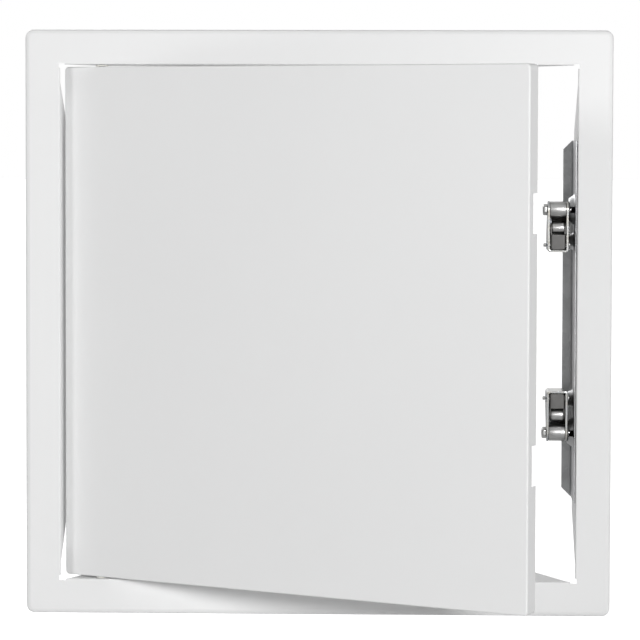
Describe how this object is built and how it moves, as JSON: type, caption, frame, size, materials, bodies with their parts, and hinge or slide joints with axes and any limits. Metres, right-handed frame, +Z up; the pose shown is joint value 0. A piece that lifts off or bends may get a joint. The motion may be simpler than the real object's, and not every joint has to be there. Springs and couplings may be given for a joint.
{
  "type": "ceiling access panel",
  "caption": "Square white steel access panel: folded frame with a tray door on pivot pins, held by sprung roller latches on a rail inside the frame.",
  "frame": {"origin": "middle of the frame's opening, in the plane of the wall or ceiling surface that the frame's rim rests on", "axes": "+X to the right seen from the room, +Y into the wall or ceiling void, +Z up with the panel set upright and hinged at its left"},
  "size_m": [0.457, 0.2162, 0.457],
  "materials": {
    "white_coat": "satin powder coat",
    "galvanised": "galvanised",
    "zinc_plate": "zinc plated",
    "bright_steel": "turned",
    "dark_lever": "dark phosphate",
    "spring_steel": "spring wire",
    "nylon": "moulded"
  },
  "bodies": {
    "frame_body": {"frame": "white_coat", "latch_rail": "galvanised", "top_pivot_pin": "bright_steel", "top_pivot_washer": "nylon", "bottom_pivot_pin": "bright_steel", "bottom_pivot_washer": "nylon", "upper_latch_bracket": "zinc_plate", "upper_latch_barrel": "bright_steel", "upper_barrel_pin": "bright_steel", "upper_latch_spring": "spring_steel", "upper_lever_pin": "bright_steel", "upper_lever_clip": "spring_steel", "upper_latch_screw": "zinc_plate", "lower_latch_bracket": "zinc_plate", "lower_latch_barrel": "bright_steel", "lower_barrel_pin": "bright_steel", "lower_latch_spring": "spring_steel", "lower_lever_pin": "bright_steel", "lower_lever_clip": "spring_steel", "lower_latch_screw": "zinc_plate"},
    "door_body": {"door": "white_coat", "top_hinge_plate": "zinc_plate", "top_pivot_clip": "bright_steel", "bottom_hinge_plate": "zinc_plate", "bottom_pivot_clip": "bright_steel", "upper_strike": "zinc_plate", "lower_strike": "zinc_plate"},
    "upper_lever_body": {"upper_latch_lever": "dark_lever", "upper_roller_axle": "bright_steel"},
    "upper_roller_body": {"upper_latch_roller": "bright_steel"},
    "lower_lever_body": {"lower_latch_lever": "dark_lever", "lower_roller_axle": "bright_steel"},
    "lower_roller_body": {"lower_latch_roller": "bright_steel"}
  },
  "joints": [
    {"name": "door_hinge", "type": "hinge", "parent": "frame_body", "child": "door_body", "pos_m": [-0.16895, 0.0035, 0], "axis": [0, 0, -1], "range_deg": [-27, 123]},
    {"name": "upper_lever_swing", "type": "hinge", "parent": "frame_body", "child": "upper_lever_body", "pos_m": [0.1871, 0.012, 0.0615], "axis": [-1, 0, 0], "range_deg": [0, 25], "stiffness_Nm_per_rad": 0.02, "springref_deg": -22.92, "deforming": ["upper_latch_spring"]},
    {"name": "upper_roller_spin", "type": "hinge", "parent": "upper_lever_body", "child": "upper_roller_body", "pos_m": [0.1871, 0.013, 0.0748], "axis": [1, 0, 0], "continuous": true},
    {"name": "lower_lever_swing", "type": "hinge", "parent": "frame_body", "child": "lower_lever_body", "pos_m": [0.1871, 0.012, -0.0585], "axis": [1, 0, 0], "range_deg": [0, 25], "stiffness_Nm_per_rad": 0.02, "springref_deg": -22.92, "deforming": ["lower_latch_spring"]},
    {"name": "lower_roller_spin", "type": "hinge", "parent": "lower_lever_body", "child": "lower_roller_body", "pos_m": [0.1871, 0.013, -0.0718], "axis": [1, 0, 0], "continuous": true}
  ]
}
